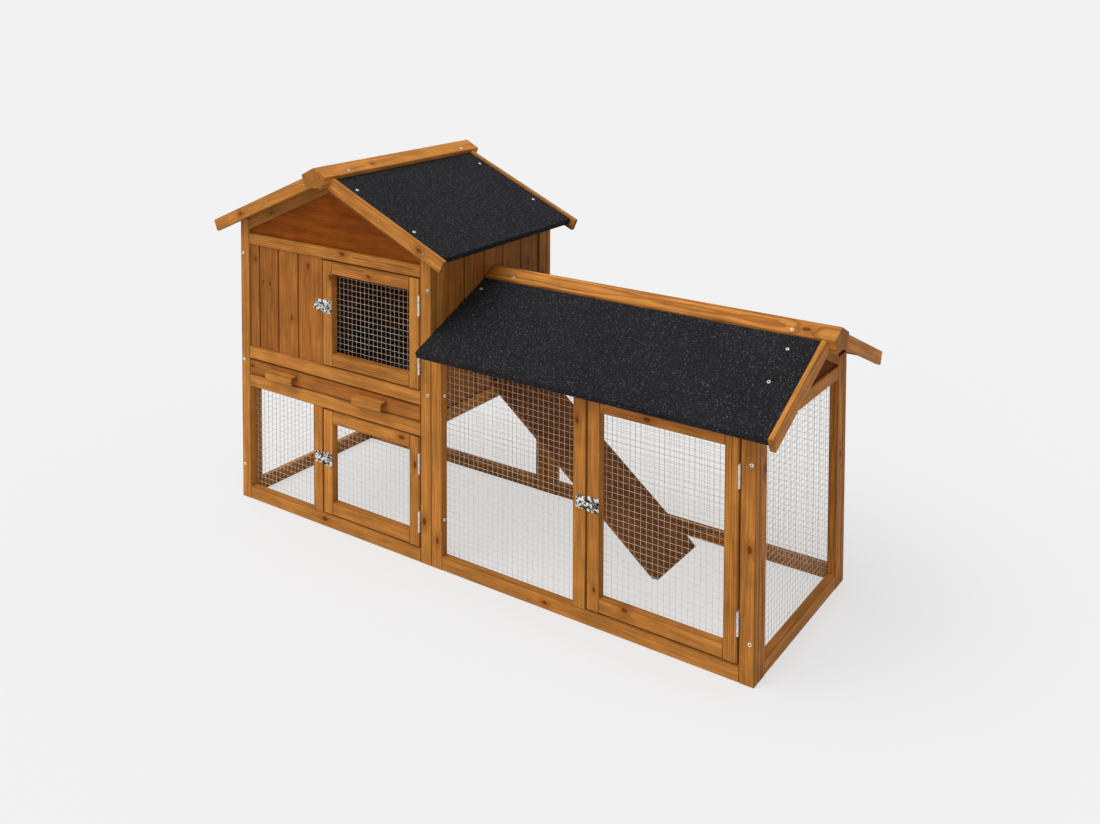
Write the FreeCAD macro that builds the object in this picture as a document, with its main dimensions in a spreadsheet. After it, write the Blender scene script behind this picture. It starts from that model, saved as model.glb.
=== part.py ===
import FreeCAD, Part
import Sketcher
import math
import os

# A two-storey rabbit hutch: a gabled house on the left, a lower gabled run on the right.
# X runs along the hutch, Y from front to back, Z up; the origin is under the middle of it all.
# Lengths are millimetres and angles are degrees.

SIZES = {
    # Sawn sticks that every frame is made of
    "stick_wide": 30.0,
    "stick_thick": 18.0,
    "arris": 1.5,
    # Gap between pieces that rest on each other without being let in
    "seat_gap": 0.3,
    # Outside sizes
    "house_width": 596.0,
    "run_length": 746.0,
    "depth": 450.0,
    "house_wall_high": 681.0,
    "run_wall_high": 488.3,
    # Front of the house, from the sill up
    "lower_opening_high": 246.0,
    "drawer_opening_high": 38.0,
    "upper_opening_high": 246.0,
    "tie_rail_high": 28.0,
    "front_boards_wide": 242.3,
    # Boards set in the frames
    "board_thick": 10.0,
    "board_recess": 4.0,
    # Side walls of the house
    "side_rail_up": 297.0,
    "doorway_wide": 186.0,
    "doorway_high": 163.0,
    # Run
    "run_window_wide": 330.0,
    "end_rail_up": 441.0,
    # Roofs
    "roof_pitch": 23.55,
    "roof_board_thick": 10.0,
    "felt_thick": 2.0,
    "felt_drip": 12.0,
    "house_board_long": 335.0,
    "house_rake_long": 351.0,
    "house_gable_past": 30.0,
    "house_ridge_past": 49.0,
    "house_ridge_lift": 21.1,
    "run_board_long": 261.0,
    "run_rake_long": 266.5,
    "run_board_past": 44.0,
    "run_ridge_past": 71.0,
    "run_ridge_lift": 16.5,
    "rake_high": 28.5,
    "rake_thick": 12.0,
    "rake_proud": 4.6,
    "rafter_high": 34.0,
    "ridge_half_wide": 37.5,
    "ridge_side": 28.5,
    "ridge_rise": 19.0,
    "gable_panel_thick": 5.0,
    "gable_panel_recess": 5.0,
    # Doors
    "door_gap": 3.0,
    "door_stick_wide": 29.0,
    # Wire nets
    "net_thick": 1.0,
    "net_wire": 1.6,
    "net_lap": 10.0,
    "net_pitch": 50.8,
    # Drawer
    "drawer_gap": 1.5,
    "drawer_top_gap": 3.0,
    "drawer_front_thick": 15.0,
    "tray_high": 18.0,
    "tray_sheet": 1.0,
    "tray_clear": 7.0,
    "runner_wide": 30.0,
    "runner_high": 12.0,
    "pull_long": 87.0,
    "pull_high": 20.5,
    "pull_up": 4.5,
    "pull_deep": 20.0,
    "pull_lip": 7.0,
    "pull_cove": 9.0,
    "pull_left_at": 116.5,
    "pull_right_at": 394.5,
    # Ramp
    "ramp_wide": 176.0,
    "ramp_thick": 9.0,
    "ramp_slope": 37.5,
    # Hinges
    "hinge_long": 45.0,
    "hinge_leaf": 0.9,
    "hinge_leaf_deep": 13.0,
    "knuckle_radius": 2.5,
    "pin_radius": 1.2,
    "pin_clearance": 0.1,
    "knuckle_gap": 0.3,
    "house_hinge_inset": 34.0,
    "run_hinge_inset": 54.0,
    # Latches
    "latch_plate_wide": 26.0,
    "latch_plate_high": 30.0,
    "latch_sheet": 1.2,
    "latch_edge": 1.5,
    "latch_boss_radius": 5.0,
    "latch_boss_high": 2.0,
    "latch_rivet_radius": 2.2,
    "latch_head_radius": 3.6,
    "latch_head_high": 1.2,
    "latch_running": 0.2,
    "turn_radius": 6.5,
    "turn_thick": 2.0,
    "turn_arm_wide": 8.0,
    "turn_reach": 15.0,
    "turn_grip_long": 9.0,
    "turn_grip_high": 6.0,
    "keeper_wide": 20.0,
    "keeper_high": 26.0,
    "keeper_ridge": 2.5,
    "upper_latch_up": 135.0,
    "lower_latch_up": 126.0,
    "run_latch_up": 210.0,
    # Screws
    "head_radius": 4.0,
    "head_high": 1.2,
    "house_screw_in": 3.8,
    "run_screw_in": 15.0,
    "ridge_screw_out": 27.0,
}

WALL_BOARDS = 5
BACK_BOARDS = 8
# Flat sides that small round outsides are drawn with
SMALL_SIDES = 12
# A turn, in degrees, that lays an upright bar level
QUARTER_TURN = 90
# Joints of the front boards across their panel, left to right
FRONT_JOINT_SHARES = (0.0, 0.13, 0.397, 0.67, 1.0)

doc = FreeCAD.newDocument("rabbit_hutch")
sheet = doc.addObject("Spreadsheet::Sheet", "Sizes")
for row, (alias, length) in enumerate(SIZES.items(), 1):
    sheet.set("A%d" % row, alias)
    sheet.set("B%d" % row, str(length))
    sheet.setAlias("B%d" % row, alias)
doc.recompute()


class Size:
    """A size with its value now and the formula that ties it to the sheet."""

    def __init__(self, value, formula):
        self.value = value
        self.formula = formula

    def __add__(self, other):
        return Size(self.value + value_of(other), "(%s + %s)" % (self.formula, formula_of(other)))

    def __sub__(self, other):
        return Size(self.value - value_of(other), "(%s - %s)" % (self.formula, formula_of(other)))

    def __mul__(self, other):
        return Size(self.value * value_of(other), "%s * %s" % (self.formula, formula_of(other)))

    def __truediv__(self, other):
        return Size(self.value / value_of(other), "%s / (%s)" % (self.formula, formula_of(other)))

    def __neg__(self):
        return Size(-self.value, "(0 - %s)" % self.formula)


def value_of(amount):
    return amount.value if isinstance(amount, Size) else amount


def formula_of(amount):
    return amount.formula if isinstance(amount, Size) else repr(amount)


def sine(angle):
    return Size(math.sin(math.radians(angle.value)), "sin(%s)" % angle.formula)


def cosine(angle):
    return Size(math.cos(math.radians(angle.value)), "cos(%s)" % angle.formula)


def tangent(angle):
    return Size(math.tan(math.radians(angle.value)), "tan(%s)" % angle.formula)


def angle_of(ratio):
    return Size(math.degrees(math.atan(ratio.value)), "atan(%s)" % ratio.formula)


class Sheet:
    """The cells of the sheet by name, each as a Size."""

    def __getattr__(self, alias):
        return Size(sheet.get(alias), "Sizes." + alias)


S = Sheet()
NODES = []
LONG_EDGES = {"x": (9, 10, 11, 12), "y": (2, 4, 6, 8), "z": (1, 3, 5, 7)}
AXES = {"x": FreeCAD.Vector(1, 0, 0), "y": FreeCAD.Vector(0, 1, 0), "z": FreeCAD.Vector(0, 0, 1)}


def bind(item, path, amount):
    """Tie one property of an object to the sheet."""
    item.setExpression(path, formula_of(amount))


def place(item, corner, turn=None):
    """Put an object at a corner, turned about one axis where turn gives (axis, angle)."""
    if turn:
        rotation = FreeCAD.Rotation(AXES[turn[0]], value_of(turn[1]))
        item.Placement = FreeCAD.Placement(FreeCAD.Vector(), rotation)
        if isinstance(turn[1], Size):
            bind(item, "Placement.Rotation.Angle", turn[1])
    for key, amount in zip("xyz", corner):
        bind(item, "Placement.Base." + key, amount)


def box(name, corner, extent, turn=None):
    """A plain box with its low corner and its three sizes bound."""
    item = doc.addObject("Part::Box", name)
    for key, amount in zip(("Length", "Width", "Height"), extent):
        bind(item, key, amount)
    place(item, corner, turn)
    return item


def cylinder(name, foot, radius, height, turn=None):
    """A round bar standing on its foot, or turned from there."""
    item = doc.addObject("Part::Cylinder", name)
    bind(item, "Radius", radius)
    bind(item, "Height", height)
    place(item, foot, turn)
    return item


def prism(name, foot, radius, height, turn=None):
    """The same with flat sides, for the outsides of small round pieces."""
    item = doc.addObject("Part::Prism", name)
    item.Polygon = SMALL_SIDES
    bind(item, "Circumradius", radius)
    bind(item, "Height", height)
    place(item, foot, turn)
    return item


def stick(name, along, corner, extent, turn=None):
    """A planed stick or board: a box with its four long edges broken."""
    blank = box(name + "_blank", corner, extent, turn)
    planed = doc.addObject("Part::Chamfer", name)
    planed.Base = blank
    arris = S.arris.value
    planed.Edges = [(edge, arris, arris) for edge in LONG_EDGES[along]]
    return planed


def fuse(name, pieces):
    item = doc.addObject("Part::MultiFuse", name)
    item.Shapes = pieces
    return item


def cut(name, base, tool):
    item = doc.addObject("Part::Cut", name)
    item.Base = base
    item.Tool = tool
    return item


def keep(item, label):
    """Name a finished node, which also names its file."""
    item.Label = label
    NODES.append(item)
    return item


def group(label, pieces):
    """One node of separate solids."""
    item = doc.addObject("Part::Compound", label)
    item.Links = pieces
    return keep(item, label)


def outline(body, role, corners):
    """A closed outline on one of the body's own planes, each corner bound to the sheet."""
    plane = [item for item in body.Origin.OriginFeatures if item.Role == role][0]
    sketch = body.newObject("Sketcher::SketchObject", body.Name + "_outline")
    sketch.AttachmentSupport = [(plane, "")]
    sketch.MapMode = "FlatFace"
    points = [FreeCAD.Vector(across.value, up.value, 0) for across, up in corners]
    lines = []
    for index, point in enumerate(points):
        after = points[(index + 1) % len(points)]
        lines.append(sketch.addGeometry(Part.LineSegment(point, after), False))
    for index, line in enumerate(lines):
        after = lines[(index + 1) % len(lines)]
        sketch.addConstraint(Sketcher.Constraint("Coincident", line, 2, after, 1))
    for line, (across, up) in zip(lines, corners):
        for kind, amount in (("DistanceX", across), ("DistanceY", up)):
            rule = Sketcher.Constraint(kind, -1, 1, line, 1, amount.value)
            bind(sketch, "Constraints[%d]" % sketch.addConstraint(rule), amount)
    return sketch


def edges_along(feature, axis):
    """Names of the straight edges of a feature that run along an axis."""
    names = []
    for index, edge in enumerate(feature.Shape.Edges, 1):
        run = edge.Vertexes[-1].Point - edge.Vertexes[0].Point
        if run.Length and abs(abs(run.normalize().dot(axis)) - 1) < 1e-6:
            names.append("Edge%d" % index)
    return names


def profile(name, role, corners, start, length, broken=False):
    """A body padded from its outline along the normal of its plane, from start on."""
    body = doc.addObject("PartDesign::Body", name)
    sketch = outline(body, role, corners)
    pad = body.newObject("PartDesign::Pad", name + "_pad")
    pad.Profile = sketch
    bind(pad, "Length", length)
    axis, low = {"XZ_Plane": ("y", start + length), "YZ_Plane": ("x", start), "XY_Plane": ("z", start)}[role]
    if broken:
        doc.recompute()
        chamfer = body.newObject("PartDesign::Chamfer", name + "_arris")
        chamfer.Base = (pad, edges_along(pad, AXES[axis]))
        bind(chamfer, "Size", S.arris)
    bind(body, "Placement.Base." + axis, low)
    return body


# Places worked out from the sizes
ROOF_SINE = sine(S.roof_pitch)
ROOF_COSINE = cosine(S.roof_pitch)
ROOF_TANGENT = tangent(S.roof_pitch)
RAKE_TOP = S.roof_board_thick + S.felt_thick + S.rake_proud


class Roof:
    """A gabled roof over a wall: points on it are given along the slope and above the boards' underside."""

    def __init__(self, half_wide, wall_high, ridge_lift):
        self.half_wide = half_wide
        self.wall_high = wall_high
        self.ridge_lift = ridge_lift
        self.foot_out = S.ridge_half_wide - ridge_lift * ROOF_SINE
        self.foot_up = self.underside(self.foot_out)
        self.ridge_low = self.point(Size(0, "0"), ridge_lift - S.ridge_side)

    def underside(self, out):
        """Height of the boards' underside at a distance out from the ridge line."""
        return self.wall_high + (self.half_wide - out) * ROOF_TANGENT

    def point(self, along, above):
        """Distance out from the ridge line, and height, of a point of the slope."""
        out = self.foot_out + along * ROOF_COSINE + above * ROOF_SINE
        up = self.foot_up - along * ROOF_SINE + above * ROOF_COSINE
        return out, up

    def ridge_corners(self):
        """The beam's section: flat below, square to both slopes at its sides, pitched on top."""
        low_out, low_up = self.ridge_low
        side_out, side_up = self.point(Size(0, "0"), self.ridge_lift)
        top = (Size(0, "0"), side_up + S.ridge_rise)
        return [(-low_out, low_up), (low_out, low_up), (side_out, side_up), top, (-side_out, side_up)]

    def cut_out(self):
        """Where the underside of the roof comes level with the underside of the ridge beam."""
        return self.half_wide - (self.ridge_low[1] - self.wall_high) / ROOF_TANGENT

    def rafter_corners(self, side, end_out):
        """A rafter under one slope, cut upright at its foot and level under the ridge beam."""
        deep = S.rafter_high / ROOF_COSINE
        foot_top = self.underside(end_out) - S.seat_gap
        ridge_low = self.ridge_low[1] - S.seat_gap
        middle = S.seat_gap
        low_up = self.underside(middle) - S.seat_gap - deep
        return [(end_out * side, foot_top - deep), (end_out * side, foot_top),
                (self.cut_out() * side, ridge_low), (middle * side, ridge_low), (middle * side, low_up)]

    def panel_corners(self, end_out, low_up):
        """The gable panel between the posts, on the rail and under the rafters."""
        under_rafter = S.rafter_high / ROOF_COSINE + S.seat_gap * 2
        side_up = self.underside(end_out) - under_rafter
        top_up = self.underside(ground) - under_rafter
        return [(-end_out, low_up), (end_out, low_up), (end_out, side_up), (ground, top_up),
                (-end_out, side_up)]

    def board_corners(self, side, board_long):
        start = S.seat_gap
        low, high = Size(0, "0"), S.roof_board_thick
        ring = [(start, low), (board_long, low), (board_long, high), (start, high)]
        return self.sided(side, ring)

    def felt_corners(self, side, board_long):
        """The felt lies on the boards and turns down over the eave."""
        start = S.seat_gap
        low, high = S.roof_board_thick, S.roof_board_thick + S.felt_thick
        end, hem = board_long + S.felt_thick, high - S.felt_drip - S.felt_thick
        ring = [(start, low), (board_long, low), (board_long, hem), (end, hem), (end, high), (start, high)]
        return self.sided(side, ring)

    def sided(self, side, ring):
        corners = [self.point(along, above) for along, above in ring]
        return [(out * side, up) for out, up in corners]


ground = Size(0, "0")
house_roof = Roof(S.house_width / 2, S.house_wall_high, S.house_ridge_lift)
run_roof = Roof(S.depth / 2, S.run_wall_high, S.run_ridge_lift)

# The hutch reaches from the tip of the house's left rakes to the end of the run's ridge beam.
rake_tip_out, rake_tip_up = house_roof.point(S.house_rake_long, RAKE_TOP)
tip_past = rake_tip_out - S.house_width / 2
left_x = tip_past - (tip_past + S.house_width + S.run_length + S.run_ridge_past) / 2
house_x = left_x + S.house_width / 2
wall_x = left_x + S.house_width
right_x = wall_x + S.run_length
front_y = -S.depth / 2
back_y = S.depth / 2
lower_rail_up = S.stick_wide + S.lower_opening_high
drawer_up = lower_rail_up + S.stick_wide
mid_rail_up = drawer_up + S.drawer_opening_high
upper_up = mid_rail_up + S.stick_wide
tie_up = upper_up + S.upper_opening_high
tie_top = tie_up + S.tie_rail_high
end_rail_top = S.end_rail_up + S.door_stick_wide
house_top = S.house_wall_high - S.seat_gap
run_top = S.run_wall_high - S.seat_gap
inner_front_y = front_y + S.stick_thick
inner_back_y = back_y - S.stick_thick
# The boards end, and the mullion below them, where both doors' openings begin.
board_end = left_x + S.stick_wide + S.front_boards_wide


def post(name, x, y, across, low, high):
    """An upright in a front or back frame."""
    return stick(name, "z", (x, y, low), (across, S.stick_thick, high - low))


def rail(name, x, end_x, y, low, high):
    """A rail in a front or back frame."""
    return stick(name, "x", (x, y, low), (end_x - x, S.stick_thick, high - low))


def side_post(name, x, y, low, high):
    """An upright in a side frame."""
    return stick(name, "z", (x, y, low), (S.stick_thick, S.stick_wide, high - low))


def side_rail(name, x, y, end_y, low, high):
    """A rail in a side frame."""
    return stick(name, "y", (x, y, low), (S.stick_thick, end_y - y, high - low))


def net(label, role, low, high, start):
    """A welded net: one sheet with a square hole for every few wires, lapped on its frame all round."""
    thick, wire, lap = S.net_thick.value, S.net_wire.value, S.net_lap.value
    (across, up), (end_across, end_up) = [[amount.value for amount in corner] for corner in (low, high)]
    columns = max(1, round((end_across - across - 2 * lap) / S.net_pitch.value))
    rows = max(1, round((end_up - up - 2 * lap) / S.net_pitch.value))
    wide = (end_across - across - 2 * lap) / columns
    tall = (end_up - up - 2 * lap) / rows

    def ring(x, z, end_x, end_z):
        turns = [(x, z), (end_x, z), (end_x, end_z), (x, end_z), (x, z)]
        if role == "YZ_Plane":
            return Part.makePolygon([FreeCAD.Vector(0, a, b) for a, b in turns])
        return Part.makePolygon([FreeCAD.Vector(a, 0, b) for a, b in turns])

    rings = [ring(across, up, end_across, end_up)]
    for column in range(columns):
        for row in range(rows):
            x = across + lap + column * wide + wire / 2
            z = up + lap + row * tall + wire / 2
            rings.append(ring(x, z, x + wide - wire, z + tall - wire))
    sheet_face = Part.makeFace(rings, "Part::FaceMakerBullseye")
    deep = FreeCAD.Vector(thick, 0, 0) if role == "YZ_Plane" else FreeCAD.Vector(0, thick, 0)
    item = doc.addObject("Part::Feature", label)
    item.Shape = sheet_face.extrude(deep)
    base = FreeCAD.Vector(start.value, 0, 0) if role == "YZ_Plane" else FreeCAD.Vector(0, start.value, 0)
    item.Placement = FreeCAD.Placement(base, FreeCAD.Rotation())
    return keep(item, label)


def house_front():
    """Posts, rails and the four upright boards beside the upper door."""
    right = wall_x - S.stick_wide
    inner = left_x + S.stick_wide
    mullion = board_end - S.stick_wide
    group("house_front_posts", [
        post("front_post_left", left_x, front_y, S.stick_wide, ground, house_top),
        post("front_post_right", right, front_y, S.stick_wide, ground, house_top),
        post("front_mullion", mullion, front_y, S.stick_wide, S.stick_wide, lower_rail_up),
    ])
    group("house_front_rails", [
        rail("front_sill", inner, right, front_y, ground, S.stick_wide),
        rail("front_lower_rail", inner, right, front_y, lower_rail_up, drawer_up),
        rail("front_mid_rail", inner, right, front_y, mid_rail_up, upper_up),
        rail("front_tie_rail", inner, right, front_y, tie_up, tie_top),
    ])
    boards = []
    for index, share in enumerate(FRONT_JOINT_SHARES[:-1]):
        start = inner + S.front_boards_wide * share
        wide = S.front_boards_wide * (FRONT_JOINT_SHARES[index + 1] - share)
        corner = (start, front_y + S.board_recess, upper_up)
        extent = (wide, S.board_thick, S.upper_opening_high)
        boards.append(stick("front_board%d" % index, "z", corner, extent))
    group("front_boards", boards)
    net("lower_front_mesh", "XZ_Plane", (inner - S.net_lap, S.stick_wide - S.net_lap),
        (mullion + S.net_lap, lower_rail_up + S.net_lap), inner_front_y)


def house_side(side, x, inner_x, closed_below):
    """One side wall: two posts, a rail under the boards, a top rail and five upright boards."""
    post_low = ground if closed_below else S.side_rail_up
    first = inner_front_y
    last = inner_back_y - S.stick_wide
    start = first + S.stick_wide
    board_low = S.side_rail_up + S.stick_wide
    board_high = house_top - S.stick_wide
    pieces = [
        side_post(side + "_post_front", x, first, post_low, house_top),
        side_post(side + "_post_back", x, last, post_low, house_top),
        side_rail(side + "_side_rail", x, start, last, S.side_rail_up, board_low),
        side_rail(side + "_top_rail", x, start, last, board_high, house_top),
    ]
    if closed_below:
        pieces.append(side_rail(side + "_sill", x, start, last, ground, S.stick_wide))
    group("house_%s_frame" % side, pieces)
    wide = (last - start) / WALL_BOARDS
    boards = []
    for index in range(WALL_BOARDS):
        corner = (inner_x, start + wide * index, board_low)
        name = "%s_wall_board%d" % (side, index)
        boards.append(stick(name, "z", corner, (S.board_thick, wide, board_high - board_low)))
    return boards


def house_walls():
    """Both side walls; the right one is open below and has the doorway that the ramp leads to."""
    group("left_wall_boards", house_side("left", left_x, left_x + S.board_recess, True))
    right_inner = wall_x - S.board_recess - S.board_thick
    boards = doc.addObject("Part::Compound", "right_boards_whole")
    boards.Links = house_side("right", wall_x - S.stick_thick, right_inner, False)
    low = S.side_rail_up + S.stick_wide
    overrun = S.board_recess
    corner = (right_inner - overrun, inner_back_y - S.stick_wide - S.doorway_wide, low - overrun)
    extent = (S.board_thick + overrun * 2, S.doorway_wide + overrun, S.doorway_high + overrun)
    keep(cut("right_wall_boards", boards, box("doorway", corner, extent)), "right_wall_boards")
    runner_low = drawer_up - S.runner_high
    net("left_mesh", "YZ_Plane", (inner_front_y + S.stick_wide - S.net_lap, S.stick_wide - S.net_lap),
        (inner_back_y - S.stick_wide + S.net_lap, runner_low - S.seat_gap), left_x + S.stick_thick)


def house_back():
    """The back frame with its upright boards above and its net below."""
    y = inner_back_y
    right = wall_x - S.stick_wide
    inner = left_x + S.stick_wide
    group("house_back_frame", [
        post("back_post_left", left_x, y, S.stick_wide, ground, house_top),
        post("back_post_right", right, y, S.stick_wide, ground, house_top),
        rail("back_sill", inner, right, y, ground, S.stick_wide),
        rail("back_lower_rail", inner, right, y, lower_rail_up, drawer_up),
        rail("back_tie_rail", inner, right, y, tie_up, tie_top),
    ])
    wide = (right - inner) / BACK_BOARDS
    board_y = back_y - S.board_recess - S.board_thick
    boards = []
    for index in range(BACK_BOARDS):
        corner = (inner + wide * index, board_y, drawer_up)
        boards.append(stick("back_board%d" % index, "z", corner, (wide, S.board_thick, tie_up - drawer_up)))
    group("back_wall_boards", boards)
    net("back_mesh", "XZ_Plane", (inner - S.net_lap, S.stick_wide - S.net_lap),
        (right + S.net_lap, lower_rail_up + S.net_lap), y - S.net_thick)


def gables():
    """Rafters in the frames' planes under the roofs, and the plain panels between them and the rails."""
    end_out = S.house_width / 2 - S.stick_wide
    rafters = []
    for name, y in (("front", front_y), ("back", inner_back_y)):
        for hand, side in (("left", -1), ("right", 1)):
            corners = [(house_x + out, up) for out, up in house_roof.rafter_corners(side, end_out)]
            name_here = "%s_rafter_%s" % (name, hand)
            rafters.append(profile(name_here, "XZ_Plane", corners, y, S.stick_thick, True))
    run_out = S.depth / 2 - S.stick_thick - S.stick_wide
    for hand, side in (("front", -1), ("back", 1)):
        corners = run_roof.rafter_corners(side, run_out)
        start = right_x - S.stick_thick
        rafters.append(profile("run_rafter_" + hand, "YZ_Plane", corners, start, S.stick_thick, True))
    group("gable_rafters", rafters)
    corners = house_roof.panel_corners(end_out - S.seat_gap, tie_top + S.seat_gap)
    corners = [(house_x + out, up) for out, up in corners]
    inwards = S.gable_panel_recess + S.gable_panel_thick
    for name, y in (("front", front_y + S.gable_panel_recess), ("back", back_y - inwards)):
        label = name + "_gable_panel"
        keep(profile(label, "XZ_Plane", corners, y, S.gable_panel_thick), label)
    corners = run_roof.panel_corners(run_out - S.seat_gap, end_rail_top + S.seat_gap)
    label = "run_end_gable_panel"
    keep(profile(label, "YZ_Plane", corners, right_x - inwards, S.gable_panel_thick), label)


def house_roof_pieces():
    """Boards, felt, rakes and ridge beam of the house; the ridge line runs front to back."""
    board_y = front_y - S.house_gable_past + S.rake_thick
    board_deep = back_y + S.house_gable_past - S.rake_thick - board_y
    for hand, side in (("left", -1), ("right", 1)):
        for label, corners in (
                ("house_roof_board_" + hand, house_roof.board_corners(side, S.house_board_long)),
                ("house_felt_" + hand, house_roof.felt_corners(side, S.house_board_long))):
            corners = [(house_x + out, up) for out, up in corners]
            keep(profile(label, "XZ_Plane", corners, board_y, board_deep), label)
    corners = [(house_x + out, up) for out, up in house_roof.ridge_corners()]
    length = S.depth + S.house_ridge_past * 2
    keep(profile("house_ridge_beam", "XZ_Plane", corners, front_y - S.house_ridge_past, length, True),
         "house_ridge_beam")
    rakes = []
    for name, y in (("front", front_y - S.house_gable_past), ("back", board_y + board_deep)):
        low = RAKE_TOP - S.rake_high
        out, up = house_roof.point(S.seat_gap, low)
        size = (S.house_rake_long - S.seat_gap, S.rake_thick, S.rake_high)
        rakes.append(stick(name + "_rake_right", "x", (house_x + out, y, up), size, ("y", S.roof_pitch)))
        out, up = house_roof.point(S.house_rake_long, low)
        rakes.append(stick(name + "_rake_left", "x", (house_x - out, y, up), size, ("y", -S.roof_pitch)))
    group("house_rakes", rakes)


def run_frames():
    """Front, end and back frames of the run with their nets."""
    inner = wall_x + S.stick_wide
    right = right_x - S.stick_wide
    middle = inner + S.run_window_wide
    top_low = run_top - S.stick_wide
    group("run_front_posts", [
        post("run_post_left", wall_x, front_y, S.stick_wide, ground, run_top),
        post("run_post_middle", middle, front_y, S.stick_wide, S.stick_wide, top_low),
        post("run_post_right", right, front_y, S.stick_wide, ground, run_top),
    ])
    group("run_front_rails", [
        rail("run_sill", inner, right, front_y, ground, S.stick_wide),
        rail("run_top_rail", inner, right, front_y, top_low, run_top),
    ])
    net("run_front_mesh", "XZ_Plane", (inner - S.net_lap, S.stick_wide - S.net_lap),
        (middle + S.net_lap, top_low + S.net_lap), inner_front_y)
    x = right_x - S.stick_thick
    first = inner_front_y
    last = inner_back_y - S.stick_wide
    start = first + S.stick_wide
    group("run_end_frame", [
        side_post("end_post_front", x, first, ground, run_top),
        side_post("end_post_back", x, last, ground, run_top),
        side_rail("end_sill", x, start, last, ground, S.stick_wide),
        side_rail("end_top_rail", x, start, last, S.end_rail_up, end_rail_top),
    ])
    net("run_end_mesh", "YZ_Plane", (start - S.net_lap, S.stick_wide - S.net_lap),
        (last + S.net_lap, S.end_rail_up + S.net_lap), x - S.net_thick)
    group("run_back_frame", [
        post("run_back_post_left", wall_x, inner_back_y, S.stick_wide, ground, run_top),
        post("run_back_post_right", right, inner_back_y, S.stick_wide, ground, run_top),
        rail("run_back_sill", inner, right, inner_back_y, ground, S.stick_wide),
        rail("run_back_top_rail", inner, right, inner_back_y, top_low, run_top),
    ])
    net("run_back_mesh", "XZ_Plane", (inner - S.net_lap, S.stick_wide - S.net_lap),
        (right + S.net_lap, top_low + S.net_lap), inner_back_y - S.net_thick)


def run_roof_pieces():
    """Boards, felt, rakes and ridge beam of the run; the ridge line runs left to right."""
    start = wall_x + S.seat_gap
    length = right_x + S.run_board_past - start
    for hand, side in (("front", -1), ("back", 1)):
        for label, corners in (
                ("run_roof_board_" + hand, run_roof.board_corners(side, S.run_board_long)),
                ("run_felt_" + hand, run_roof.felt_corners(side, S.run_board_long))):
            keep(profile(label, "YZ_Plane", corners, start, length), label)
    length = right_x + S.run_ridge_past - start
    corners = run_roof.ridge_corners()
    keep(profile("run_ridge_beam", "YZ_Plane", corners, start, length, True), "run_ridge_beam")
    x = right_x + S.run_board_past
    low = RAKE_TOP - S.rake_high
    size = (S.rake_thick, S.run_rake_long - S.seat_gap, S.rake_high)
    out, up = run_roof.point(S.run_rake_long, low)
    front = stick("run_rake_front", "y", (x, -out, up), size, ("x", S.roof_pitch))
    out, up = run_roof.point(S.seat_gap, low)
    back = stick("run_rake_back", "y", (x, out, up), size, ("x", -S.roof_pitch))
    group("run_rakes", [front, back])


def ramp():
    """A plain plank from the doorway's sill down to the ground, cut plumb above and level below."""
    top_up = S.side_rail_up + S.stick_wide
    deep = S.ramp_thick / cosine(S.ramp_slope)
    slope = tangent(S.ramp_slope)
    start = wall_x + S.seat_gap
    corners = [(start, top_up - deep), (start, top_up), (start + top_up / slope, ground),
               (start + (top_up - deep) / slope, ground)]
    y = inner_back_y - S.stick_wide - S.ramp_wide
    keep(profile("ramp_board", "XZ_Plane", corners, y, S.ramp_wide), "ramp_board")


def drawer():
    """The pull-out floor of the house: front board, two pulls and a sheet tray on two runners."""
    inner = left_x + S.stick_wide
    right = wall_x - S.stick_wide
    low = drawer_up + S.drawer_gap
    front_x = inner + S.drawer_gap
    high = S.drawer_opening_high - S.drawer_gap - S.drawer_top_gap
    front_size = (right - inner - S.drawer_gap * 2, S.drawer_front_thick, high)
    keep(stick("drawer_front", "x", (front_x, front_y, low), front_size), "drawer_front")
    pulls = []
    pull_low = low + S.pull_up
    cove_up = pull_low + S.pull_cove
    lip_y = front_y - S.pull_deep + S.pull_lip
    corners = [(front_y, cove_up), (lip_y, cove_up), (lip_y, pull_low), (front_y - S.pull_deep, pull_low),
               (front_y - S.pull_deep, pull_low + S.pull_high), (front_y, pull_low + S.pull_high)]
    for name, at in (("pull_left", S.pull_left_at), ("pull_right", S.pull_right_at)):
        start = front_x + at - S.pull_long / 2
        pulls.append(profile(name, "YZ_Plane", corners, start, S.pull_long, True))
    group("drawer_pulls", pulls)
    tray_low = drawer_up + S.seat_gap
    tray_x = front_x + S.drawer_gap
    tray_y = front_y + S.drawer_front_thick
    tray_wide = front_size[0] - S.drawer_gap * 2
    tray_deep = inner_back_y - S.tray_clear - tray_y
    body = doc.addObject("PartDesign::Body", "drawer_tray")
    base = outline(body, "XY_Plane", rectangle(ground, ground, tray_wide, tray_deep))
    pad = body.newObject("PartDesign::Pad", "tray_pad")
    pad.Profile = base
    bind(pad, "Length", S.tray_high)
    doc.recompute()
    inside = outline(body, "XY_Plane", rectangle(
        S.tray_sheet, S.tray_sheet, tray_wide - S.tray_sheet, tray_deep - S.tray_sheet))
    bind(inside, "AttachmentOffset.Base.z", S.tray_sheet)
    hollow = body.newObject("PartDesign::Pocket", "tray_hollow")
    hollow.Profile = inside
    bind(hollow, "Length", S.tray_high)
    hollow.Reversed = True
    for key, amount in zip("xyz", (tray_x, tray_y, tray_low)):
        bind(body, "Placement.Base." + key, amount)
    keep(body, "drawer_tray")
    runners = []
    runner_low = drawer_up - S.runner_high
    runner_deep = inner_back_y - inner_front_y
    for name, x in (("runner_left", left_x + S.stick_thick),
                    ("runner_right", wall_x - S.stick_thick - S.runner_wide)):
        corner = (x, inner_front_y, runner_low)
        runners.append(stick(name, "y", corner, (S.runner_wide, runner_deep, S.runner_high)))
    group("drawer_runners", runners)


def rectangle(x, y, end_x, end_y):
    return [(x, y), (end_x, y), (end_x, end_y), (x, end_y)]


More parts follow.
